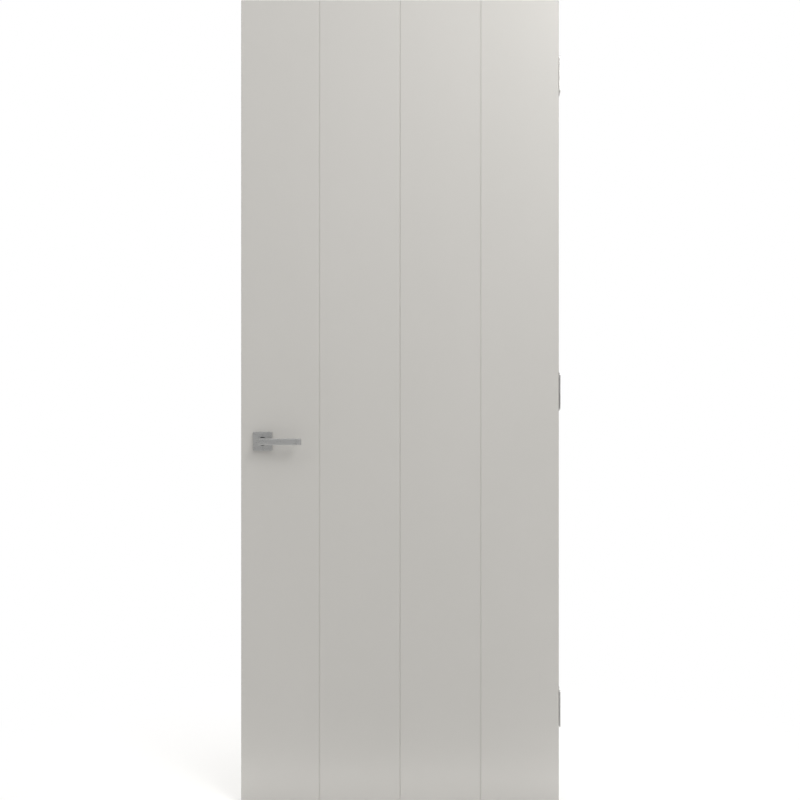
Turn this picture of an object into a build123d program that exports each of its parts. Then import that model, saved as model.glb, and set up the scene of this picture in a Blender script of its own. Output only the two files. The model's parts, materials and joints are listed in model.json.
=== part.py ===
"""Flush interior door leaf, milled with V-grooves into plank panels, hung on three butt hinges.

The leaf is a framed sandwich: two stiles, two rails, a core board and a lock block between two grooved
skins, with a lipping round all four edges. It carries a magnetic latch and a pair of lever handles on
square roses. Units are millimetres, +Z up. The origin is the centre of the lower hinge's jamb plate, on
the face that is screwed to the frame. The leaf hangs from there towards -X, its front face looks towards
-Y, and it opens towards +Y.
"""

import os

from build123d import *

# Leaf
LEAF_WIDTH = 875.0
LEAF_HEIGHT = 2205.0
LEAF_THICKNESS = 40.0
SKIN_THICKNESS = 6.0
LIPPING_THICKNESS = 8.0
STILE_WIDTH = 45.0
TOP_RAIL_HEIGHT = 70.0
BOTTOM_RAIL_HEIGHT = 95.0
LOCK_BLOCK_WIDTH = 85.0
LOCK_BLOCK_HEIGHT = 320.0
ARRIS_RADIUS = 1.5

# Milled grooves, the same on both faces
GROOVE_COUNT = 3
GROOVE_PITCH = 222.0
GROOVE_WIDTH = 4.0
GROOVE_DEPTH = 1.5

# Butt hinges
HINGE_HEIGHT = 102.0
HINGE_PLATE_THICKNESS = 3.0
HINGE_LET_IN = 30.0
HINGE_GAP = 3.0
HINGE_CORNER_RADIUS = 6.0
LOWER_HINGE_HEIGHT = 250.0
UPPER_HINGE_DROP = 200.0
BARREL_RADIUS = 6.5
BARREL_CLEARANCE = 0.75
KNUCKLE_COUNT = 5
BEARING_THICKNESS = 1.5
BEARING_STEP = 0.3
AXIAL_PLAY = 0.1
PIN_RADIUS = 3.5
PIN_CLEARANCE = 0.05
PIN_TIP_HEIGHT = 3.0
PIN_TIP_STEP = 0.75
PIN_TIP_CHAMFER = 1.0
HINGE_SCREW_HOLE_RADIUS = 2.5
HINGE_SCREW_HEAD_RADIUS = 4.5
OUTER_SCREW_INSET = 13.0
INNER_SCREW_SPACING = 26.0
SCREW_STAGGER = 13.0

# Latch
HANDLE_HEIGHT = 990.0
BACKSET = 60.0
FOREND_WIDTH = 20.0
FOREND_HEIGHT = 196.0
FOREND_THICKNESS = 3.0
FOREND_DROP = 20.0
FOREND_SCREW_INSET = 10.0
FOREND_SCREW_HOLE_RADIUS = 2.25
FOREND_SCREW_HEAD_RADIUS = 4.0
CASE_DEPTH = 85.0
CASE_HEIGHT = 165.0
CASE_WALL = 1.2
CASE_CLEARANCE = 1.0
BOLT_WIDTH = 12.0
BOLT_HEIGHT = 36.0
BOLT_LENGTH = 32.0
BOLT_RISE = 22.0
BOLT_CORNER_RADIUS = 2.0
BOLT_NOSE_RADIUS = 0.8
BOLT_CLEARANCE = 0.3
FOLLOWER_RADIUS = 9.0

# Lever handles
ROSE_SIZE = 52.0
ROSE_HEIGHT = 8.0
ROSE_WALL = 1.5
ROSE_CORNER_RADIUS = 1.5
ROSE_EDGE_RADIUS = 0.8
ROSE_FIT = 0.2
COLLAR_RADIUS = 12.0
COLLAR_PROUD = 1.2
SPIGOT_LENGTH = 5.0
SPINDLE_HOLE_RADIUS = 12.0
SPINDLE_SIZE = 8.0
SPINDLE_CHAMFER = 0.5
SPINDLE_FIT = 0.05
SPINDLE_REACH = 30.0
LEVER_PROJECTION = 52.0
LEVER_BAR_THICKNESS = 10.0
LEVER_HEIGHT = 18.0
LEVER_NECK_WIDTH = 18.0
LEVER_REACH = 109.0
LEVER_OUTER_RADIUS = 4.0
LEVER_INNER_RADIUS = 7.0
LEVER_END_RADIUS = 3.0
LEVER_EDGE_RADIUS = 2.0
LEVER_GAP = 0.6
JOURNAL_RADIUS = 8.5
JOURNAL_SETBACK = 1.0
RUNNING_CLEARANCE = 0.05
GRUB_HOLE_RADIUS = 2.5
GRUB_HOLE_INSET = 8.0

# Fit of the plates that are let in flush
LET_IN_FIT = 0.15

# Faces and middle planes of the leaf
HINGE_EDGE_X = -(HINGE_PLATE_THICKNESS + HINGE_GAP)
LOCK_EDGE_X = HINGE_EDGE_X - LEAF_WIDTH
LEAF_MID_X = HINGE_EDGE_X - LEAF_WIDTH / 2
BACK_FACE_Y = HINGE_LET_IN / 2
FRONT_FACE_Y = BACK_FACE_Y - LEAF_THICKNESS
LEAF_MID_Y = BACK_FACE_Y - LEAF_THICKNESS / 2
LEAF_BOTTOM_Z = -LOWER_HINGE_HEIGHT
LEAF_TOP_Z = LEAF_BOTTOM_Z + LEAF_HEIGHT

# Inside faces of the lippings, of the skins, and of the stiles and rails
INNER_LOCK_X = LOCK_EDGE_X + LIPPING_THICKNESS
INNER_HINGE_X = HINGE_EDGE_X - LIPPING_THICKNESS
INNER_BOTTOM_Z = LEAF_BOTTOM_Z + LIPPING_THICKNESS
INNER_TOP_Z = LEAF_TOP_Z - LIPPING_THICKNESS
INNER_FRONT_Y = FRONT_FACE_Y + SKIN_THICKNESS
INNER_BACK_Y = BACK_FACE_Y - SKIN_THICKNESS
CORE_LOCK_X = INNER_LOCK_X + STILE_WIDTH
CORE_HINGE_X = INNER_HINGE_X - STILE_WIDTH
CORE_BOTTOM_Z = INNER_BOTTOM_Z + BOTTOM_RAIL_HEIGHT
CORE_TOP_Z = INNER_TOP_Z - TOP_RAIL_HEIGHT

# Hinge axis, hinge heights and knuckles
HINGE_AXIS_X = -(HINGE_PLATE_THICKNESS + HINGE_GAP / 2)
HINGE_AXIS_Y = BACK_FACE_Y + BARREL_RADIUS + BARREL_CLEARANCE
HINGE_HEIGHTS = {
    "lower": 0.0,
    "middle": (LEAF_TOP_Z - UPPER_HINGE_DROP) / 2,
    "upper": LEAF_TOP_Z - UPPER_HINGE_DROP,
}
BEARING_SPACE = BEARING_THICKNESS + 2 * AXIAL_PLAY
KNUCKLE_LENGTH = (HINGE_HEIGHT - (KNUCKLE_COUNT - 1) * BEARING_SPACE) / KNUCKLE_COUNT

# Spindle axis, latch and lever
SPINDLE_X = LOCK_EDGE_X + BACKSET
SPINDLE_Z = LEAF_BOTTOM_Z + HANDLE_HEIGHT
FOREND_MID_Z = SPINDLE_Z - FOREND_DROP
BOLT_MID_Z = SPINDLE_Z + BOLT_RISE
CASE_THICKNESS = BOLT_WIDTH + 2 * (BOLT_CLEARANCE + CASE_WALL)
LEVER_START = ROSE_HEIGHT + COLLAR_PROUD + LEVER_GAP


def block(x_span, y_span, z_span):
    """A box between two corners, given as a low and a high value on each axis."""
    spans = (x_span, y_span, z_span)
    sizes = [high - low for low, high in spans]
    middle = [(high + low) / 2 for low, high in spans]
    return Pos(*middle) * Box(*sizes)


def rod_along_x(x_span, y, z, radius):
    low, high = x_span
    return Pos((low + high) / 2, y, z) * Rot(0, 90, 0) * Cylinder(radius, high - low)


def rod_along_y(x, y_span, z, radius):
    low, high = y_span
    return Pos(x, (low + high) / 2, z) * Rot(90, 0, 0) * Cylinder(radius, high - low)


def rod_along_z(x, y, z_span, radius):
    low, high = z_span
    return Pos(x, y, (low + high) / 2) * Cylinder(radius, high - low)


def around(middle, size):
    """The span of a size that is centred on a value."""
    return middle - size / 2, middle + size / 2


def countersunk_hole(open_x, wall_x, y, z, hole_radius, head_radius):
    """The cutter for a screw hole along X, with its 90 degree countersink open at open_x."""
    inward = 1 if wall_x > open_x else -1
    sink_depth = head_radius - hole_radius
    sink = Cone(head_radius, hole_radius, sink_depth, rotation=(0, 90 * inward, 0))
    through = rod_along_x(sorted((open_x, wall_x)), y, z, hole_radius)
    return through + Pos(open_x + inward * sink_depth / 2, y, z) * sink


def leaf_envelope():
    """The leaf's outside, with its arrises eased."""
    whole = block((LOCK_EDGE_X, HINGE_EDGE_X), (FRONT_FACE_Y, BACK_FACE_Y), (LEAF_BOTTOM_Z, LEAF_TOP_Z))
    return fillet(whole.edges(), ARRIS_RADIUS)


def groove_cutters(face_y, inward):
    """The V-grooves of one face, through the leaf's whole height. inward is the way into the leaf along Y."""
    first_x = LEAF_MID_X - GROOVE_PITCH * (GROOVE_COUNT - 1) / 2
    mouth = GROOVE_WIDTH / 2
    vee = make_face(Polyline((-mouth, 0), (mouth, 0), (0, inward * GROOVE_DEPTH), close=True))
    bar = Pos(0, face_y, LEAF_BOTTOM_Z) * extrude(vee, LEAF_HEIGHT, dir=(0, 0, 1))
    return [Pos(first_x + number * GROOVE_PITCH, 0, 0) * bar for number in range(GROOVE_COUNT)]


def spindle_bore():
    return rod_along_y(SPINDLE_X, (FRONT_FACE_Y, BACK_FACE_Y), SPINDLE_Z, SPINDLE_HOLE_RADIUS)


def case_pocket():
    """The mortise for the latch case, from the lock edge inwards."""
    return block(
        (LOCK_EDGE_X, LOCK_EDGE_X + FOREND_THICKNESS + CASE_DEPTH + CASE_CLEARANCE),
        around(LEAF_MID_Y, CASE_THICKNESS + 2 * CASE_CLEARANCE),
        around(FOREND_MID_Z, CASE_HEIGHT + 2 * CASE_CLEARANCE),
    )


def forend_blank(growth=0.0):
    """The forend's round-ended outline as a plate, grown all round by growth."""
    outline = SlotOverall(FOREND_HEIGHT + 2 * growth, FOREND_WIDTH + 2 * growth, rotation=90)
    place = Plane(origin=(LOCK_EDGE_X, LEAF_MID_Y, FOREND_MID_Z), x_dir=(0, 1, 0), z_dir=(1, 0, 0))
    return extrude(place * outline, FOREND_THICKNESS)


def hinge_plate_blank(inner_x, outer_x, z, growth=0.0):
    """A hinge plate without its knuckles, from its free end to the leaf's back face."""
    plate = block(
        sorted((inner_x, outer_x)),
        (BACK_FACE_Y - HINGE_LET_IN - growth, BACK_FACE_Y),
        around(z, HINGE_HEIGHT + 2 * growth),
    )
    free_corners = plate.edges().filter_by(Axis.X).group_by(Axis.Y)[0]
    return fillet(free_corners, HINGE_CORNER_RADIUS + growth)


def skin(face_y, inward):
    y_span = sorted((face_y, face_y + inward * SKIN_THICKNESS))
    sheet = block((INNER_LOCK_X, INNER_HINGE_X), y_span, (INNER_BOTTOM_Z, INNER_TOP_Z))
    return sheet - groove_cutters(face_y, inward) - spindle_bore()


def long_lipping(x_span):
    strip = block(x_span, (FRONT_FACE_Y, BACK_FACE_Y), (LEAF_BOTTOM_Z, LEAF_TOP_Z))
    return strip & leaf_envelope()


def lock_edge_lipping():
    strip = long_lipping((LOCK_EDGE_X, INNER_LOCK_X))
    return strip - case_pocket() - forend_blank(LET_IN_FIT)


def hinge_edge_lipping():
    strip = long_lipping((INNER_HINGE_X, HINGE_EDGE_X))
    recess_x = HINGE_EDGE_X - HINGE_PLATE_THICKNESS
    recesses = [hinge_plate_blank(recess_x, HINGE_EDGE_X, z, LET_IN_FIT) for z in HINGE_HEIGHTS.values()]
    return strip - recesses


def cross_lipping(z_span):
    strip = block((INNER_LOCK_X, INNER_HINGE_X), (FRONT_FACE_Y, BACK_FACE_Y), z_span)
    grooves = groove_cutters(FRONT_FACE_Y, 1) + groove_cutters(BACK_FACE_Y, -1)
    return (strip & leaf_envelope()) - grooves


def stile(x_span):
    return block(x_span, (INNER_FRONT_Y, INNER_BACK_Y), (INNER_BOTTOM_Z, INNER_TOP_Z))


def rail(z_span):
    return block((CORE_LOCK_X, CORE_HINGE_X), (INNER_FRONT_Y, INNER_BACK_Y), z_span)


def lock_block_blank():
    x_span = (CORE_LOCK_X, CORE_LOCK_X + LOCK_BLOCK_WIDTH)
    return block(x_span, (INNER_FRONT_Y, INNER_BACK_Y), around(SPINDLE_Z, LOCK_BLOCK_HEIGHT))


def core_board():
    board = block((CORE_LOCK_X, CORE_HINGE_X), (INNER_FRONT_Y, INNER_BACK_Y), (CORE_BOTTOM_Z, CORE_TOP_Z))
    return board - lock_block_blank()


def bolt_blank(growth=0.0):
    """The latch bolt, flush with the forend, grown by growth on its sides and at its inner end."""
    bar = block(
        (LOCK_EDGE_X, LOCK_EDGE_X + BOLT_LENGTH + growth),
        around(LEAF_MID_Y, BOLT_WIDTH + 2 * growth),
        around(BOLT_MID_Z, BOLT_HEIGHT + 2 * growth),
    )
    return fillet(bar.edges().filter_by(Axis.X), BOLT_CORNER_RADIUS + growth)


def latch_bolt():
    bolt = bolt_blank()
    return fillet(bolt.faces().sort_by(Axis.X)[0].edges(), BOLT_NOSE_RADIUS)


def lock_forend():
    plate = forend_blank() - bolt_blank(BOLT_CLEARANCE)
    for z in around(FOREND_MID_Z, FOREND_HEIGHT - 2 * FOREND_SCREW_INSET):
        radii = (FOREND_SCREW_HOLE_RADIUS, FOREND_SCREW_HEAD_RADIUS)
        plate -= countersunk_hole(LOCK_EDGE_X, LOCK_EDGE_X + FOREND_THICKNESS, LEAF_MID_Y, z, *radii)
    return plate


def lock_case():
    """The latch case behind the forend, with the bolt's channel and the follower's hole."""
    near_x = LOCK_EDGE_X + FOREND_THICKNESS
    y_span = around(LEAF_MID_Y, CASE_THICKNESS)
    case = block((near_x, near_x + CASE_DEPTH), y_span, around(FOREND_MID_Z, CASE_HEIGHT))
    follower_hole = rod_along_y(SPINDLE_X, y_span, SPINDLE_Z, FOLLOWER_RADIUS + RUNNING_CLEARANCE)
    return case - bolt_blank(BOLT_CLEARANCE) - follower_hole


def square_along_y(size, y_span):
    return block(around(SPINDLE_X, size), y_span, around(SPINDLE_Z, size))


def latch_follower():
    """The hub in the latch case that the spindle turns."""
    y_span = around(LEAF_MID_Y, CASE_THICKNESS)
    hub = rod_along_y(SPINDLE_X, y_span, SPINDLE_Z, FOLLOWER_RADIUS)
    return hub - square_along_y(SPINDLE_SIZE + 2 * SPINDLE_FIT, y_span)


def spindle():
    y_span = (FRONT_FACE_Y - SPINDLE_REACH, BACK_FACE_Y + SPINDLE_REACH)
    bar = square_along_y(SPINDLE_SIZE, y_span)
    return chamfer(bar.edges().filter_by(Axis.Y), SPINDLE_CHAMFER)


def off_front(near, far):
    """The Y span between two distances off the front face."""
    return FRONT_FACE_Y - far, FRONT_FACE_Y - near


def round_off_front(radius, near, far):
    return rod_along_y(SPINDLE_X, off_front(near, far), SPINDLE_Z, radius)


def rose_cover():
    """The square cap of the rose, open at its back, with a hole for the collar."""
    cap = square_along_y(ROSE_SIZE, off_front(0, ROSE_HEIGHT))
    cap = fillet(cap.edges().filter_by(Axis.Y), ROSE_CORNER_RADIUS)
    cap = fillet(cap.faces().sort_by(Axis.Y)[0].edges(), ROSE_EDGE_RADIUS)
    inside = square_along_y(ROSE_SIZE - 2 * ROSE_WALL, off_front(0, ROSE_HEIGHT - ROSE_WALL))
    return cap - inside - round_off_front(COLLAR_RADIUS + ROSE_FIT, 0, ROSE_HEIGHT)


def rose_base():
    """The bearing plate under the cap: its collar carries the lever, its spigot sits in the leaf's bore."""
    top = ROSE_HEIGHT + COLLAR_PROUD
    plate = square_along_y(ROSE_SIZE - 2 * (ROSE_WALL + ROSE_FIT), off_front(0, ROSE_HEIGHT - ROSE_WALL))
    collar = round_off_front(COLLAR_RADIUS, 0, top)
    spigot = round_off_front(SPINDLE_HOLE_RADIUS - ROSE_FIT, -SPIGOT_LENGTH, 0)
    bearing = round_off_front(JOURNAL_RADIUS + RUNNING_CLEARANCE, -SPIGOT_LENGTH, top)
    return plate + collar + spigot - bearing


def lever_bar():
    """The lever's L-shaped bar: a square neck off the rose, turned into a flat grip along the leaf."""
    half_neck = LEVER_NECK_WIDTH / 2
    back_of_bar = LEVER_PROJECTION - LEVER_BAR_THICKNESS
    outer_bend = (-half_neck, -LEVER_PROJECTION)
    front_end = (LEVER_REACH, -LEVER_PROJECTION)
    back_end = (LEVER_REACH, -back_of_bar)
    inner_bend = (half_neck, -back_of_bar)
    roots = [(half_neck, -LEVER_START), (-half_neck, -LEVER_START)]
    outline = make_face(Polyline(outer_bend, front_end, back_end, inner_bend, *roots, close=True))
    rounded_corners = [
        (outer_bend, LEVER_OUTER_RADIUS),
        (front_end, LEVER_END_RADIUS),
        (back_end, LEVER_END_RADIUS),
        (inner_bend, LEVER_INNER_RADIUS),
    ]
    for corner, radius in rounded_corners:
        outline = fillet(outline.vertices().sort_by_distance(corner)[0], radius)
    bar = extrude(outline, LEVER_HEIGHT, dir=(0, 0, 1))
    rims = bar.faces().filter_by(Axis.Z).edges()
    bar = fillet([rim for rim in rims if rim.center().Y < -LEVER_START], LEVER_EDGE_RADIUS)
    return Pos(SPINDLE_X, FRONT_FACE_Y, SPINDLE_Z - LEVER_HEIGHT / 2) * bar


def lever():
    """The cast lever, with a round journal for the rose and a square socket for the spindle."""
    journal = round_off_front(JOURNAL_RADIUS, JOURNAL_SETBACK - SPIGOT_LENGTH, LEVER_START)
    socket_span = off_front(-SPIGOT_LENGTH, SPINDLE_REACH + SPINDLE_FIT)
    socket = square_along_y(SPINDLE_SIZE + 2 * SPINDLE_FIT, socket_span)
    grub_y = FRONT_FACE_Y - LEVER_START - GRUB_HOLE_INSET
    grub_hole = rod_along_z(SPINDLE_X, grub_y, (SPINDLE_Z - LEVER_HEIGHT / 2, SPINDLE_Z), GRUB_HOLE_RADIUS)
    return lever_bar() + journal - socket - grub_hole


def on_back(piece):
    """The same piece on the leaf's other face."""
    return mirror(piece, about=Plane(origin=(0, LEAF_MID_Y, 0), z_dir=(0, 1, 0)))


def rod_on_hinge_axis(z_span, radius):
    return rod_along_z(HINGE_AXIS_X, HINGE_AXIS_Y, z_span, radius)


def knuckle_span(number, z):
    low = z - HINGE_HEIGHT / 2 + number * (KNUCKLE_LENGTH + BEARING_SPACE)
    return low, low + KNUCKLE_LENGTH


def hinge_screw_places(z):
    """(y, z) of a plate's four screws: the outer pair near the barrel, the inner pair near the free end."""
    free_y, barrel_y = around(BACK_FACE_Y - HINGE_LET_IN / 2, SCREW_STAGGER)
    outer = [(barrel_y, place) for place in around(z, HINGE_HEIGHT - 2 * OUTER_SCREW_INSET)]
    inner = [(free_y, place) for place in around(z, INNER_SCREW_SPACING)]
    return outer + inner


def hinge_half(z, side, own_knuckles):
    """One half of a butt hinge. side is 1 for the jamb's half and -1 for the leaf's."""
    inner_x = HINGE_AXIS_X + side * HINGE_GAP / 2
    outer_x = inner_x + side * HINGE_PLATE_THICKNESS
    half = hinge_plate_blank(inner_x, outer_x, z)
    for number in own_knuckles:
        span = knuckle_span(number, z)
        web = block(sorted((inner_x, outer_x)), (BACK_FACE_Y, HINGE_AXIS_Y), span)
        half += web + rod_on_hinge_axis(span, BARREL_RADIUS)
    half -= rod_on_hinge_axis(around(z, HINGE_HEIGHT), PIN_RADIUS + PIN_CLEARANCE)
    for y, hole_z in hinge_screw_places(z):
        radii = (HINGE_SCREW_HOLE_RADIUS, HINGE_SCREW_HEAD_RADIUS)
        half -= countersunk_hole(inner_x, outer_x, y, hole_z, *radii)
    return half


def hinge_pin(z):
    """The fixed pin, with a chamfered tip against the outer knuckle at each end."""
    low, high = around(z, HINGE_HEIGHT)
    pin = rod_on_hinge_axis((low, high), PIN_RADIUS)
    for span, outer_end in (((low - PIN_TIP_HEIGHT, low), 0), ((high, high + PIN_TIP_HEIGHT), -1)):
        tip = rod_on_hinge_axis(span, BARREL_RADIUS - PIN_TIP_STEP)
        rim = tip.edges().filter_by(GeomType.CIRCLE).sort_by(Axis.Z)[outer_end]
        pin += chamfer(rim, PIN_TIP_CHAMFER)
    return pin


def hinge_bearings(z):
    """The rings between the knuckles."""
    rings = []
    for number in range(KNUCKLE_COUNT - 1):
        low = knuckle_span(number, z)[1] + AXIAL_PLAY
        span = (low, low + BEARING_THICKNESS)
        ring = rod_on_hinge_axis(span, BARREL_RADIUS - BEARING_STEP)
        rings.append(ring - rod_on_hinge_axis(span, PIN_RADIUS + PIN_CLEARANCE))
    return Compound(rings)


def leaf_pieces():
    return {
        "front_skin": skin(FRONT_FACE_Y, 1),
        "back_skin": skin(BACK_FACE_Y, -1),
        "lock_edge_lipping": lock_edge_lipping(),
        "hinge_edge_lipping": hinge_edge_lipping(),
        "top_edge_lipping": cross_lipping((INNER_TOP_Z, LEAF_TOP_Z)),
        "bottom_edge_lipping": cross_lipping((LEAF_BOTTOM_Z, INNER_BOTTOM_Z)),
        "lock_stile": stile((INNER_LOCK_X, CORE_LOCK_X)) - case_pocket() - spindle_bore(),
        "hinge_stile": stile((CORE_HINGE_X, INNER_HINGE_X)),
        "top_rail": rail((CORE_TOP_Z, INNER_TOP_Z)),
        "bottom_rail": rail((INNER_BOTTOM_Z, CORE_BOTTOM_Z)),
        "lock_block": lock_block_blank() - case_pocket() - spindle_bore(),
        "core_board": core_board(),
    }


def furniture_pieces():
    cover, base, handle = rose_cover(), rose_base(), lever()
    return {
        "lock_forend": lock_forend(),
        "lock_case": lock_case(),
        "latch_bolt": latch_bolt(),
        "latch_follower": latch_follower(),
        "spindle": spindle(),
        "front_rose_cover": cover,
        "back_rose_cover": on_back(cover),
        "front_rose_base": base,
        "back_rose_base": on_back(base),
        "front_lever": handle,
        "back_lever": on_back(handle),
    }


def hinge_pieces():
    pieces = {}
    for place, z in HINGE_HEIGHTS.items():
        pieces[f"{place}_hinge_jamb_plate"] = hinge_half(z, 1, range(0, KNUCKLE_COUNT, 2))
        pieces[f"{place}_hinge_leaf_plate"] = hinge_half(z, -1, range(1, KNUCKLE_COUNT, 2))
        pieces[f"{place}_hinge_pin"] = hinge_pin(z)
        pieces[f"{place}_hinge_bearings"] = hinge_bearings(z)
    return pieces


def main():
    os.makedirs("parts", exist_ok=True)
    for name, piece in {**leaf_pieces(), **furniture_pieces(), **hinge_pieces()}.items():
        export_step(piece, f"parts/{name}.step")


main()
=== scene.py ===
import json
import math

import bmesh
import bpy
from mathutils import Matrix, Vector


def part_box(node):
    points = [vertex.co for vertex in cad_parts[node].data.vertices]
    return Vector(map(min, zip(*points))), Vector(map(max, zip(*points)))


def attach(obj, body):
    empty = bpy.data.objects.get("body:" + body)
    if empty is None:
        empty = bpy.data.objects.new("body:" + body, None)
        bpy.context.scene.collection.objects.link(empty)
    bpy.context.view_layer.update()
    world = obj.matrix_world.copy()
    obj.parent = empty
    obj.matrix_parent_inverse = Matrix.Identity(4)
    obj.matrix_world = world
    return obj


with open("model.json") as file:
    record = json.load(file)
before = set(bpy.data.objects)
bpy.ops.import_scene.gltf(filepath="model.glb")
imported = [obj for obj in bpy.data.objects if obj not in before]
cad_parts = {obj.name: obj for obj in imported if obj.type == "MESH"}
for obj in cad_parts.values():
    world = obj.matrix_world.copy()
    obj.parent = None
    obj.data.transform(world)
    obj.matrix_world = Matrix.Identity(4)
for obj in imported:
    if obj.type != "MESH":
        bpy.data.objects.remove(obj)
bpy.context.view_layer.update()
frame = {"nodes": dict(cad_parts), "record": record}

# Lengths are in metres. Colours are linear red, green and blue, and a fourth value of 1 makes them opaque

# The view: level and square on, from the leaf's top edge to just above the round of its foot
CAMERA_DISTANCE = 3.5
SENSOR_WIDTH = 36.0
FOOT_LEFT_OUT = 0.0022

# The studio. The undercut is the gap between the leaf and the floor
UNDERCUT = 0.008
FLOOR_RADIUS = 9.0
FLOOR_POINTS = 96
FLOOR_FADE_START = 0.45
FLOOR_FADE_END = 1.6
FLOOR_COLOUR = (0.84, 0.835, 0.825, 1)
WHITE = (1, 1, 1, 1)
BACKDROP_STRENGTH = 1.0
ROOM_ABOVE = (0.70, 0.70, 0.70, 1)
ROOM_LEVEL = (0.46, 0.46, 0.46, 1)
ROOM_BELOW = (0.40, 0.40, 0.40, 1)
STRAIGHT_DOWN = -1.0
HORIZON_SHARE = 0.5
SOFTBOX_WHITE = (1.0, 0.995, 0.985)
LAMPS_MID_X = -0.45

# The colours of the paint and the woods, and a painted shade for the paint on edges and in grooves
LACQUER_DARK = (0.507, 0.496, 0.472, 1)
LACQUER_LIGHT = (0.519, 0.507, 0.484, 1)
# Painted shade: a darker lacquer colour laid on rounded edges and groove walls
LACQUER_PAINTED_SHADE_ON_EDGES = (0.500, 0.488, 0.463, 1)
PINE_PALE = (0.62, 0.42, 0.22, 1)
PINE_RING = (0.48, 0.27, 0.12, 1)
PINE_FIBRE = (0.36, 0.20, 0.09, 1)
FIBRE_COVER = 0.35
CHIP_DARK = (0.30, 0.19, 0.10, 1)
CHIP_PALE = (0.63, 0.47, 0.29, 1)

# The roughness of each surface, from its smoothest to its roughest spots, and what edges and wear add to it
LACQUER_ROUGHNESS = (0.36, 0.42)
ROUGHER_ON_EDGES = 0.07
BRUSHED_ROUGHNESS = (0.26, 0.36)
BRUSHED_WEAR = (-0.02, 0.03)
TURNED_ROUGHNESS = (0.18, 0.30)
NYLON_ROUGHNESS = (0.42, 0.58)
PINE_ROUGHNESS = (0.55, 0.72)
CHIP_ROUGHNESS = (0.70, 0.85)

# The depth of each relief
PEEL_DEPTH = 0.000011
PAINT_DUST_DEPTH = 0.0000008
SCRATCH_DEPTH = 0.0000016
HAZE_DEPTH = 0.000004
TURNED_GRAIN_DEPTH = 0.000002
SPARK_DEPTH = 0.00001
YEAR_RING_DEPTH = 0.00006
FIBRE_DEPTH = 0.00003
FLAKE_DEPTH = 0.00012
CHIP_DUST_DEPTH = 0.00003

# How many scratches of brushed metal fit in a metre
SCRATCHES_ACROSS = 5200
SCRATCHES_ALONG = 55

# The largest part of a surface's normal, on an edge that counts as round and on a face that counts as flat
ROUND_BELOW = 0.80
FLAT_ABOVE = 0.98

# Sockets that share their name with others go by number
MIX_SHARE = 0
MIX_FIRST_COLOUR = 6
MIX_SECOND_COLOUR = 7
MIX_COLOUR_RESULT = 2
FIRST_SHADER = 1
SECOND_SHADER = 2

# The fasteners
RING_POINTS = 32
SMOOTH_ANGLE = math.radians(35)
RIM_EASE = 0.0001
SCREW_FIT = 0.0001
SCREW_TIP_LENGTH = 0.005
SCREW_TIP_RADIUS = 0.0004
SCREW_TURN = math.radians(37)
CROSS_ARMS = 4
CROSS_REACH_SHARE = 0.56
CROSS_ARM_SHARE = 0.13
CROSS_DEPTH_SHARE = 0.42
CROSS_FLOOR_SHARE = 0.45
HINGE_SCREW_HEAD = 0.0045
HINGE_SCREW_HOLE = 0.0025
HINGE_SCREW_LENGTH = 0.025
OUTER_SCREW_INSET = 0.013
INNER_SCREW_SPACING = 0.026
SCREW_STAGGER = 0.013
FOREND_SCREW_HEAD = 0.004
FOREND_SCREW_HOLE = 0.00225
FOREND_SCREW_LENGTH = 0.020
FOREND_SCREW_INSET = 0.010
GRUB_SCREW_RADIUS = 0.0024
GRUB_SCREW_LENGTH = 0.0045
GRUB_SCREW_RECESSED = 0.0006
GRUB_TIP_SHARE = 0.6
GRUB_CHAMFER_SHARE = 0.4
GRUB_HOLE_INSET = 0.0178
HEX_SIDES = 6
HEX_SOCKET_RADIUS = 0.00145
HEX_SOCKET_DEPTH = 0.0018
HEX_FLOOR_SHARE = 1.0

leaf_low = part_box("bottom_edge_lipping")[0]
leaf_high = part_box("top_edge_lipping")[1]
lock_edge_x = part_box("lock_edge_lipping")[0].x
hinge_edge_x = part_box("hinge_edge_lipping")[1].x
front_face_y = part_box("front_skin")[0].y
back_face_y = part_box("back_skin")[1].y
leaf_mid_x = (lock_edge_x + hinge_edge_x) / 2


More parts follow.
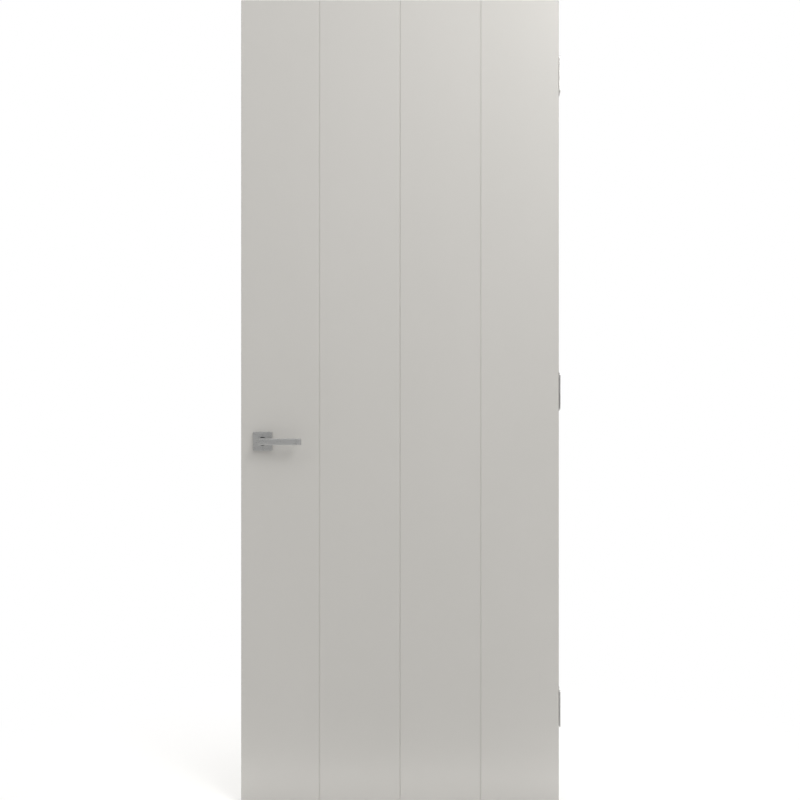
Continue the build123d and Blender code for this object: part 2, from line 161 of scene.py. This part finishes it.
class Finish:
    """A material with short calls for the nodes that the finishes share."""

    def __init__(self, name, **values):
        self.material = bpy.data.materials.new(name)
        self.material.use_nodes = True
        self.tree = self.material.node_tree
        self.shader = self.tree.nodes["Principled BSDF"]
        for socket, value in values.items():
            self.shader.inputs[socket.replace("_", " ")].default_value = value
        self.coordinates = self.node("ShaderNodeTexCoord", {}).outputs["Object"]

    def node(self, kind, inputs, **settings):
        """A new node, with values or other nodes' sockets on its inputs."""
        made = self.tree.nodes.new(kind)
        for name, value in settings.items():
            setattr(made, name, value)
        for socket, value in inputs.items():
            if isinstance(value, bpy.types.NodeSocket):
                self.tree.links.new(value, made.inputs[socket])
            else:
                made.inputs[socket].default_value = value
        return made

    def noise(self, per_metre, detail, shape=0.5):
        """Soft random values about 0.5. per_metre is how many of them fit in a metre along X, Y and Z."""
        place = self.node("ShaderNodeMapping", {"Vector": self.coordinates, "Scale": per_metre})
        inputs = {"Vector": place.outputs["Vector"], "Scale": 1.0, "Detail": detail, "Roughness": shape}
        return self.node("ShaderNodeTexNoise", inputs).outputs["Fac"]

    def spread(self, value, low=0.0, high=1.0, start=0.3, end=0.7):
        """The value between start and end, turned into low to high."""
        inputs = {"Value": value, "From Min": start, "From Max": end, "To Min": low, "To Max": high}
        return self.node("ShaderNodeMapRange", inputs, interpolation_type="SMOOTHSTEP").outputs["Result"]

    def sum(self, first, second):
        return self.node("ShaderNodeMath", {0: first, 1: second}, operation="ADD").outputs["Value"]

    def times(self, first, second):
        return self.node("ShaderNodeMath", {0: first, 1: second}, operation="MULTIPLY").outputs["Value"]

    def mixed(self, share, first, second):
        """A colour between first and second."""
        inputs = {MIX_SHARE: share, MIX_FIRST_COLOUR: first, MIX_SECOND_COLOUR: second}
        return self.node("ShaderNodeMix", inputs, data_type="RGBA").outputs[MIX_COLOUR_RESULT]

    def colour(self, source):
        self.tree.links.new(source, self.shader.inputs["Base Color"])

    def roughness(self, source):
        self.tree.links.new(source, self.shader.inputs["Roughness"])

    def relief(self, *layers):
        """Bumps one on top of the other: each layer is a height from 0 to 1 and its real depth."""
        normal = None
        for height, depth in layers:
            inputs = {"Height": height, "Distance": depth, "Strength": 1.0}
            if normal:
                inputs["Normal"] = normal
            normal = self.node("ShaderNodeBump", inputs).outputs["Normal"]
        self.tree.links.new(normal, self.shader.inputs["Normal"])

    def edge_share(self):
        """1 on rounded edges and on groove walls, and 0 on faces that look along X, Y or Z."""
        normal = self.node("ShaderNodeNewGeometry", {}).outputs["Normal"]
        local = self.node("ShaderNodeVectorTransform", {"Vector": normal}, vector_type="NORMAL",
                          convert_from="WORLD", convert_to="OBJECT").outputs["Vector"]
        lengths = self.node("ShaderNodeVectorMath", {0: local}, operation="ABSOLUTE").outputs["Vector"]
        axes = self.node("ShaderNodeSeparateXYZ", {"Vector": lengths}).outputs
        pair = self.node("ShaderNodeMath", {0: axes["X"], 1: axes["Y"]}, operation="MAXIMUM").outputs["Value"]
        largest = self.node("ShaderNodeMath", {0: pair, 1: axes["Z"]}, operation="MAXIMUM").outputs["Value"]
        return self.spread(largest, low=1.0, high=0.0, start=ROUND_BELOW, end=FLAT_ABOVE)


def satin_lacquer():
    """Sprayed warm grey paint: fine orange peel, a little drier where the cutter has opened the board, and
    painted shade that darkens its colour on rounded edges and groove walls.
    """
    finish = Finish("satin_lacquer", Specular_IOR_Level=0.45)
    clouds = finish.spread(finish.noise(per_metre=(1.6, 1.6, 0.9), detail=3.0))
    flat_colour = finish.mixed(clouds, LACQUER_DARK, LACQUER_LIGHT)
    edges = finish.edge_share()
    # Painted shade: the colour darkens on rounded edges and groove walls
    finish.colour(finish.mixed(edges, flat_colour, LACQUER_PAINTED_SHADE_ON_EDGES))
    mottle = finish.spread(finish.noise(per_metre=(90, 90, 90), detail=3.0), *LACQUER_ROUGHNESS)
    finish.roughness(finish.sum(mottle, finish.times(edges, ROUGHER_ON_EDGES)))
    peel = finish.noise(per_metre=(420, 420, 420), detail=2.0)
    dust = finish.noise(per_metre=(2600, 2600, 2600), detail=2.0)
    finish.relief((peel, PEEL_DEPTH), (dust, PAINT_DUST_DEPTH))
    return finish.material


def brushed_metal(name, dark, light, along):
    """Satin metal with fine scratches along one axis."""
    per_metre = [SCRATCHES_ACROSS] * 3
    per_metre["XYZ".index(along)] = SCRATCHES_ALONG
    finish = Finish(name, Metallic=1.0)
    scratches = finish.noise(tuple(per_metre), detail=4.0, shape=0.6)
    haze = finish.noise(per_metre=(70, 70, 70), detail=3.0)
    finish.colour(finish.mixed(finish.spread(scratches), dark, light))
    worn = finish.spread(haze, *BRUSHED_WEAR)
    finish.roughness(finish.sum(finish.spread(scratches, *BRUSHED_ROUGHNESS), worn))
    finish.relief((scratches, SCRATCH_DEPTH), (haze, HAZE_DEPTH))
    return finish.material


def turned_metal(name, dark, light):
    """Metal off the lathe or the zinc bath: even, with a fine cloudy grain."""
    finish = Finish(name, Metallic=1.0)
    grain = finish.noise(per_metre=(900, 900, 3800), detail=3.0)
    clouds = finish.noise(per_metre=(160, 160, 160), detail=3.0)
    finish.colour(finish.mixed(finish.spread(clouds), dark, light))
    finish.roughness(finish.spread(grain, *TURNED_ROUGHNESS))
    finish.relief((grain, TURNED_GRAIN_DEPTH))
    return finish.material


def moulded_nylon(name, dark, light):
    """Dark nylon with the fine spark texture of its mould."""
    finish = Finish(name, Specular_IOR_Level=0.5)
    spark = finish.noise(per_metre=(2400, 2400, 2400), detail=3.0)
    flow = finish.noise(per_metre=(60, 60, 220), detail=2.0)
    finish.colour(finish.mixed(finish.spread(flow), dark, light))
    finish.roughness(finish.spread(spark, *NYLON_ROUGHNESS))
    finish.relief((spark, SPARK_DEPTH))
    return finish.material


def planed_softwood():
    """Straight-grown pine: year rings as long bands, with fine fibres between."""
    finish = Finish("planed_softwood", Specular_IOR_Level=0.3)
    bands = finish.noise(per_metre=(110, 110, 2.4), detail=3.0, shape=0.55)
    fibres = finish.noise(per_metre=(1600, 1600, 26), detail=3.0, shape=0.6)
    rings = finish.mixed(finish.spread(bands, start=0.4, end=0.6), PINE_PALE, PINE_RING)
    finish.colour(finish.mixed(finish.spread(fibres, high=FIBRE_COVER), rings, PINE_FIBRE))
    finish.roughness(finish.spread(fibres, *PINE_ROUGHNESS))
    finish.relief((bands, YEAR_RING_DEPTH), (fibres, FIBRE_DEPTH))
    return finish.material


def pressed_chipboard():
    """Pressed wood chips: pale and dark flakes a few millimetres across."""
    finish = Finish("pressed_chipboard", Specular_IOR_Level=0.25)
    flakes = finish.noise(per_metre=(420, 420, 160), detail=4.0, shape=0.65)
    dust = finish.noise(per_metre=(2600, 2600, 2600), detail=2.0)
    finish.colour(finish.mixed(finish.spread(flakes, start=0.35, end=0.65), CHIP_DARK, CHIP_PALE))
    finish.roughness(finish.spread(flakes, *CHIP_ROUGHNESS))
    finish.relief((flakes, FLAKE_DEPTH), (dust, CHIP_DUST_DEPTH))
    return finish.material


finishes = {
    "satin_lacquer": satin_lacquer(),
    "framing_timber": planed_softwood(),
    "tubular_chipboard": pressed_chipboard(),
    "satin_steel": brushed_metal("satin_steel", (0.45, 0.45, 0.445, 1), (0.55, 0.55, 0.545, 1), along="X"),
    "rose_bearing": moulded_nylon("rose_bearing", (0.030, 0.030, 0.031, 1), (0.045, 0.045, 0.047, 1)),
    "spindle_steel": turned_metal("spindle_steel", (0.50, 0.51, 0.53, 1), (0.60, 0.60, 0.60, 1)),
    "forend_steel": brushed_metal("forend_steel", (0.56, 0.56, 0.55, 1), (0.68, 0.68, 0.67, 1), along="Z"),
    "case_steel": turned_metal("case_steel", (0.47, 0.49, 0.52, 1), (0.60, 0.60, 0.57, 1)),
    "bolt_nylon": moulded_nylon("bolt_nylon", (0.022, 0.022, 0.023, 1), (0.034, 0.034, 0.036, 1)),
    "hinge_steel": brushed_metal("hinge_steel", (0.60, 0.60, 0.585, 1), (0.72, 0.72, 0.705, 1), along="Z"),
    "pin_steel": turned_metal("pin_steel", (0.52, 0.52, 0.51, 1), (0.62, 0.62, 0.61, 1)),
    # The bearing rings are steel. Their dark colour is painted shade, standing in for the shaded gap between
    # the hinge knuckles
    "bearing_ring": turned_metal("bearing_ring", (0.20, 0.20, 0.20, 1), (0.30, 0.30, 0.29, 1)),
}
for subpart in frame["record"]["subparts"]:
    for place in frame["nodes"][subpart["node"]].material_slots:
        place.material = finishes[subpart["material_slot"]]


def ring(radius, height=0.0, count=RING_POINTS):
    """Points round the local Z axis."""
    turns = [2 * math.pi * number / count for number in range(count)]
    return [Vector((radius * math.cos(turn), radius * math.sin(turn), height)) for turn in turns]


def bridge(mesh, lower, upper):
    """A wall of four-sided faces between two loops of as many points."""
    for number in range(len(lower)):
        after = (number + 1) % len(lower)
        mesh.faces.new((lower[number], lower[after], upper[after], upper[number]))


def cross_outline(head_radius):
    """The outline of a cross recess at height 0, arm by arm."""
    reach = head_radius * CROSS_REACH_SHARE
    half_arm = head_radius * CROSS_ARM_SHARE
    arm = [Vector((reach, -half_arm, 0)), Vector((reach, half_arm, 0)), Vector((half_arm, half_arm, 0))]
    turns = [Matrix.Rotation(2 * math.pi / CROSS_ARMS * number, 3, "Z") for number in range(CROSS_ARMS)]
    return [turn @ point for turn in turns for point in arm]


def screw_mesh(name, rings, outline, depth, floor_share):
    """A screw along local Z, with its face at 0. Each of the rings is a radius and a height, from the tip up.
    The drive narrows from its outline to its floor, which is floor_share as large."""
    mesh = bmesh.new()
    loops = [[mesh.verts.new(point) for point in ring(*size)] for size in rings]
    for lower, upper in zip(loops, loops[1:]):
        bridge(mesh, lower, upper)
    mesh.faces.new(list(reversed(loops[0])))
    rim = [mesh.verts.new(point) for point in outline]
    narrow = Matrix.Diagonal((floor_share, floor_share, 1))
    drive_floor = [mesh.verts.new(narrow @ point - Vector((0, 0, depth))) for point in outline]
    bridge(mesh, rim, drive_floor)
    mesh.faces.new(drive_floor)
    face_edges = [edge for edge in mesh.edges if all(end in loops[-1] or end in rim for end in edge.verts)]
    bmesh.ops.triangle_fill(mesh, edges=face_edges, use_beauty=True)
    bmesh.ops.recalc_face_normals(mesh, faces=mesh.faces)
    data = bpy.data.meshes.new(name)
    mesh.to_mesh(data)
    mesh.free()
    data.shade_smooth()
    data.set_sharp_from_angle(angle=SMOOTH_ANGLE)
    return data


def countersunk_screw(name, hole_radius, head_radius, length):
    """A wood screw that fills its countersink, less a small fit."""
    shank = hole_radius - SCREW_FIT
    head = head_radius - SCREW_FIT
    sink = head_radius - hole_radius
    rings = [
        (SCREW_TIP_RADIUS, -length),
        (shank, SCREW_TIP_LENGTH - length),
        (shank, -sink),
        (head - RIM_EASE, -RIM_EASE * 2),
        (head - RIM_EASE, -RIM_EASE),
        (head - RIM_EASE * 2, 0.0),
    ]
    depth = head_radius * CROSS_DEPTH_SHARE
    return screw_mesh(name, rings, cross_outline(head_radius), depth, CROSS_FLOOR_SHARE)


def grub_screw(name):
    """A socket set screw with a blunt cup end."""
    radius = GRUB_SCREW_RADIUS
    rings = [
        (radius * GRUB_TIP_SHARE, -GRUB_SCREW_LENGTH),
        (radius, -GRUB_SCREW_LENGTH + radius * GRUB_CHAMFER_SHARE),
        (radius, -RIM_EASE * 2),
        (radius - RIM_EASE * 2, 0.0),
    ]
    socket = ring(HEX_SOCKET_RADIUS, count=HEX_SIDES)
    return screw_mesh(name, rings, socket, HEX_SOCKET_DEPTH, HEX_FLOOR_SHARE)


def fasten(name, data, place, outward, turn, body, slot):
    """Puts a screw at place with its head looking outward."""
    piece = bpy.data.objects.new(name, data)
    bpy.context.scene.collection.objects.link(piece)
    aim = Vector(outward).to_track_quat("Z", "Y").to_matrix().to_4x4()
    piece.matrix_world = Matrix.Translation(place) @ aim @ Matrix.Rotation(turn, 4, "Z")
    if not data.materials:
        data.materials.append(finishes[slot])
    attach(piece, body)


def hinge_screws():
    """Four screws in each leaf plate. The jamb plates' holes are left open for the frame's own screws."""
    data = countersunk_screw("hinge_screw", HINGE_SCREW_HOLE, HINGE_SCREW_HEAD, HINGE_SCREW_LENGTH)
    mid_y = (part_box("lower_hinge_jamb_plate")[0].y + back_face_y) / 2
    for hinge in ("lower", "middle", "upper"):
        low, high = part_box(f"{hinge}_hinge_leaf_plate")
        mid_z = (low.z + high.z) / 2
        outer_reach = (high.z - low.z) / 2 - OUTER_SCREW_INSET
        places = [(SCREW_STAGGER / 2, side * outer_reach) for side in (-1, 1)]
        places += [(-SCREW_STAGGER / 2, side * INNER_SCREW_SPACING / 2) for side in (-1, 1)]
        for number, (off_y, off_z) in enumerate(places, 1):
            place = Vector((hinge_edge_x, mid_y + off_y, mid_z + off_z))
            name = f"{hinge}_hinge_screw_{number}"
            fasten(name, data, place, (1, 0, 0), SCREW_TURN * number, "leaf", "hinge_steel")


def forend_screws():
    """One at each end of the latch's forend."""
    data = countersunk_screw("forend_screw", FOREND_SCREW_HOLE, FOREND_SCREW_HEAD, FOREND_SCREW_LENGTH)
    low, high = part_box("lock_forend")
    for number, z in enumerate((low.z + FOREND_SCREW_INSET, high.z - FOREND_SCREW_INSET), 1):
        place = Vector((low.x, (low.y + high.y) / 2, z))
        name = f"forend_screw_{number}"
        fasten(name, data, place, (-1, 0, 0), SCREW_TURN * number, "leaf", "forend_steel")


def grub_screws():
    """One under each lever's neck, pinching the spindle."""
    data = grub_screw("grub_screw")
    spindle_x = sum(corner.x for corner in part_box("spindle")) / 2
    for side, face_y, way in (("front", front_face_y, -1), ("back", back_face_y, 1)):
        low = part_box(f"{side}_lever")[0]
        place = Vector((spindle_x, face_y + way * GRUB_HOLE_INSET, low.z + GRUB_SCREW_RECESSED))
        fasten(f"{side}_grub_screw", data, place, (0, 0, -1), 0.0, "handle", "spindle_steel")


hinge_screws()
forend_screws()
grub_screws()


def camera():
    """Level and square on to the front face, which fills the picture from top to bottom."""
    seen_height = leaf_high.z - leaf_low.z - FOOT_LEFT_OUT
    data = bpy.data.cameras.new("camera")
    data.sensor_width = SENSOR_WIDTH
    data.lens = SENSOR_WIDTH * CAMERA_DISTANCE / seen_height
    view = bpy.data.objects.new("camera", data)
    view.location = (leaf_mid_x, front_face_y - CAMERA_DISTANCE, leaf_high.z - seen_height / 2)
    view.rotation_euler = (math.pi / 2, 0, 0)
    bpy.context.scene.collection.objects.link(view)
    bpy.context.scene.camera = view


def floor():
    """A round sheet of pale matt paper. Away from the door it fades into the white backdrop, so that no rim
    and no horizon shows."""
    data = bpy.data.meshes.new("floor")
    data.from_pydata(ring(FLOOR_RADIUS, count=FLOOR_POINTS), [], [list(range(FLOOR_POINTS))])
    plane = bpy.data.objects.new("floor", data)
    plane.location = (leaf_mid_x, 0, leaf_low.z - UNDERCUT)
    bpy.context.scene.collection.objects.link(plane)
    paper = Finish("floor_paper", Base_Color=FLOOR_COLOUR, Roughness=0.9, Specular_IOR_Level=0.1)
    away = paper.node("ShaderNodeVectorMath", {0: paper.coordinates}, operation="LENGTH").outputs["Value"]
    seen = paper.node("ShaderNodeLightPath", {}).outputs["Is Camera Ray"]
    faded = paper.times(paper.spread(away, start=FLOOR_FADE_START, end=FLOOR_FADE_END), seen)
    white = paper.node("ShaderNodeEmission", {"Strength": BACKDROP_STRENGTH}).outputs["Emission"]
    inputs = {MIX_SHARE: faded, FIRST_SHADER: paper.shader.outputs["BSDF"], SECOND_SHADER: white}
    surface = paper.node("ShaderNodeMixShader", inputs).outputs["Shader"]
    paper.tree.links.new(surface, paper.tree.nodes["Material Output"].inputs["Surface"])
    data.materials.append(paper.material)
    return plane


def room():
    """A white backdrop, and a dimmer room that lights the door and shows in its metal. The room is lightest
    straight above and darkest straight below."""
    world = bpy.data.worlds.new("room")
    world.use_nodes = True
    bpy.context.scene.world = world
    tree = world.node_tree
    backdrop = tree.nodes["Background"]
    backdrop.inputs["Color"].default_value = WHITE
    backdrop.inputs["Strength"].default_value = BACKDROP_STRENGTH
    walls = tree.nodes.new("ShaderNodeBackground")
    ramp = tree.nodes.new("ShaderNodeValToRGB")
    ramp.color_ramp.elements[0].color = ROOM_BELOW
    ramp.color_ramp.elements[1].color = ROOM_ABOVE
    ramp.color_ramp.elements.new(HORIZON_SHARE).color = ROOM_LEVEL
    split = tree.nodes.new("ShaderNodeSeparateXYZ")
    coordinates = tree.nodes.new("ShaderNodeTexCoord")
    height = tree.nodes.new("ShaderNodeMapRange")
    height.inputs["From Min"].default_value = STRAIGHT_DOWN
    tree.links.new(coordinates.outputs["Generated"], split.inputs["Vector"])
    tree.links.new(split.outputs["Z"], height.inputs["Value"])
    tree.links.new(height.outputs["Result"], ramp.inputs["Fac"])
    tree.links.new(ramp.outputs["Color"], walls.inputs["Color"])
    choice = tree.nodes.new("ShaderNodeMixShader")
    path = tree.nodes.new("ShaderNodeLightPath")
    tree.links.new(path.outputs["Is Camera Ray"], choice.inputs["Fac"])
    tree.links.new(walls.outputs["Background"], choice.inputs[FIRST_SHADER])
    tree.links.new(backdrop.outputs["Background"], choice.inputs[SECOND_SHADER])
    tree.links.new(choice.outputs["Shader"], tree.nodes["World Output"].inputs["Surface"])


def softbox(name, place, target, width, height, power):
    """A soft lamp at place that looks at target, with its power in watts. The camera doesn't see it."""
    data = bpy.data.lights.new(name, "AREA")
    data.shape = "RECTANGLE"
    data.size = width
    data.size_y = height
    data.energy = power
    data.color = SOFTBOX_WHITE
    lamp = bpy.data.objects.new(name, data)
    lamp.location = place
    lamp.rotation_euler = (Vector(target) - Vector(place)).to_track_quat("-Z", "Y").to_euler()
    lamp.visible_camera = False
    bpy.context.scene.collection.objects.link(lamp)
    return lamp


def aim_only_at(lamp, pieces):
    """Lets a lamp light these pieces alone, as a flag does in a studio."""
    lit = bpy.data.collections.new(f"lit_by_{lamp.name}")
    for piece in pieces:
        lit.objects.link(piece)
    lamp.light_linking.receiver_collection = lit


def front_lamps():
    """Soft light on the front face, strongest from the right, with small lamps for its top right corner and
    its foot."""
    softbox("corner", place=(0.30, -0.6, 2.25), target=(-0.1, 0, 1.8), width=0.4, height=0.4, power=1.64)
    softbox("right", place=(1.4, -3.0, 3.4), target=(-0.3, 0, 1.1), width=1.2, height=1.2, power=38.4)
    softbox("front", place=(0.8, -3.2, 2.2), target=(-0.40, 0, 0.9), width=1.2, height=1.0, power=15.6)
    softbox("left", place=(-2.3, -3.0, 3.2), target=(-0.5, 0, 1.0), width=1.2, height=1.2, power=12.4)
    foot = softbox("foot", place=(leaf_mid_x, -0.16, -0.22), target=(leaf_mid_x, 0, -0.2), width=1.3,
                   height=0.06, power=0.165)
    front_pieces = ("front_skin", "lock_edge_lipping", "hinge_edge_lipping", "bottom_edge_lipping")
    aim_only_at(foot, [frame["nodes"][node] for node in front_pieces])
    softbox("over", place=(LAMPS_MID_X, -2.2, 4.0), target=(LAMPS_MID_X, 0, 0.8), width=1.6, height=1.2,
            power=12.0)


def back_lamps(ground):
    """One lamp for the back face, and one high above that whitens the floor without touching the door."""
    softbox("back", place=(LAMPS_MID_X, 3.6, 2.6), target=(LAMPS_MID_X, 0, 0.9), width=2.4, height=1.6,
            power=63.0)
    paper = softbox("paper", place=(LAMPS_MID_X, 2.2, 4.6), target=(LAMPS_MID_X, 0.9, -0.25), width=2.4,
                    height=1.2, power=82.0)
    aim_only_at(paper, [ground])


camera()
ground = floor()
room()
front_lamps()
back_lamps(ground)
bpy.context.scene.view_settings.view_transform = "Standard"
